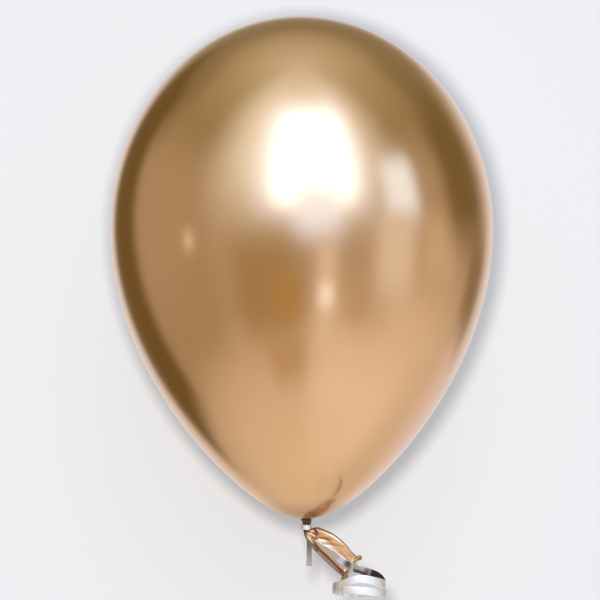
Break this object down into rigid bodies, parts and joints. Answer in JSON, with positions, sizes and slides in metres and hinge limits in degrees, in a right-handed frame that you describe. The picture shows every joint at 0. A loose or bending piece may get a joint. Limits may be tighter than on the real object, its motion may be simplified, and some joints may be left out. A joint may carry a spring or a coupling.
{
  "type": "latex balloon",
  "caption": "Inflated pear-shaped balloon of thin mirror-gold latex, neck tied off with silver curling ribbon, for party decoration.",
  "frame": {"origin": "on the balloon's axis at the middle of the ribbon tie round its neck, about which it is held or floats", "axes": "+Z along the balloon's axis from the tie to the crown; -Y towards the front; +X to the side that the slack tail hangs to"},
  "size_m": [0.28, 0.28, 0.429],
  "materials": {
    "stretched_latex": "inflated latex with metallic gold pigment, mirror-like with a soft blur",
    "slack_latex": "unstretched metallic gold latex, satin and a little darker",
    "rolled_latex": "thick rolled bead of the same latex, dark satin gold",
    "silver_ribbon": "metallised silver polypropylene curling ribbon"
  },
  "bodies": {
    "balloon": {"envelope": "stretched_latex", "neck_gather": "slack_latex", "ribbon_wrap": "silver_ribbon", "ribbon_knot": "silver_ribbon"},
    "tail": {"neck_tail": "slack_latex", "rolled_rim": "rolled_latex", "ribbon_front_run": "silver_ribbon"},
    "curl": {"ribbon_curl": "silver_ribbon"},
    "short_end": {"ribbon_short_end": "silver_ribbon"}
  },
  "joints": [
    {"name": "tail_flex", "type": "hinge", "parent": "balloon", "child": "tail", "pos_m": [0, 0, -0.0055], "axis": [0, 1, 0], "range_deg": [-30, 50], "stiffness_Nm_per_rad": 0.002},
    {"name": "curl_swing", "type": "hinge", "parent": "tail", "child": "curl", "pos_m": [0.038, -0.00425, -0.0312], "axis": [0, 1, 0], "range_deg": [-40, 40], "stiffness_Nm_per_rad": 0.0002},
    {"name": "short_end_swing", "type": "hinge", "parent": "balloon", "child": "short_end", "pos_m": [0.0008, 0.0056, -0.0006], "axis": [0, 1, 0], "range_deg": [-50, 50], "stiffness_Nm_per_rad": 0.00001}
  ]
}
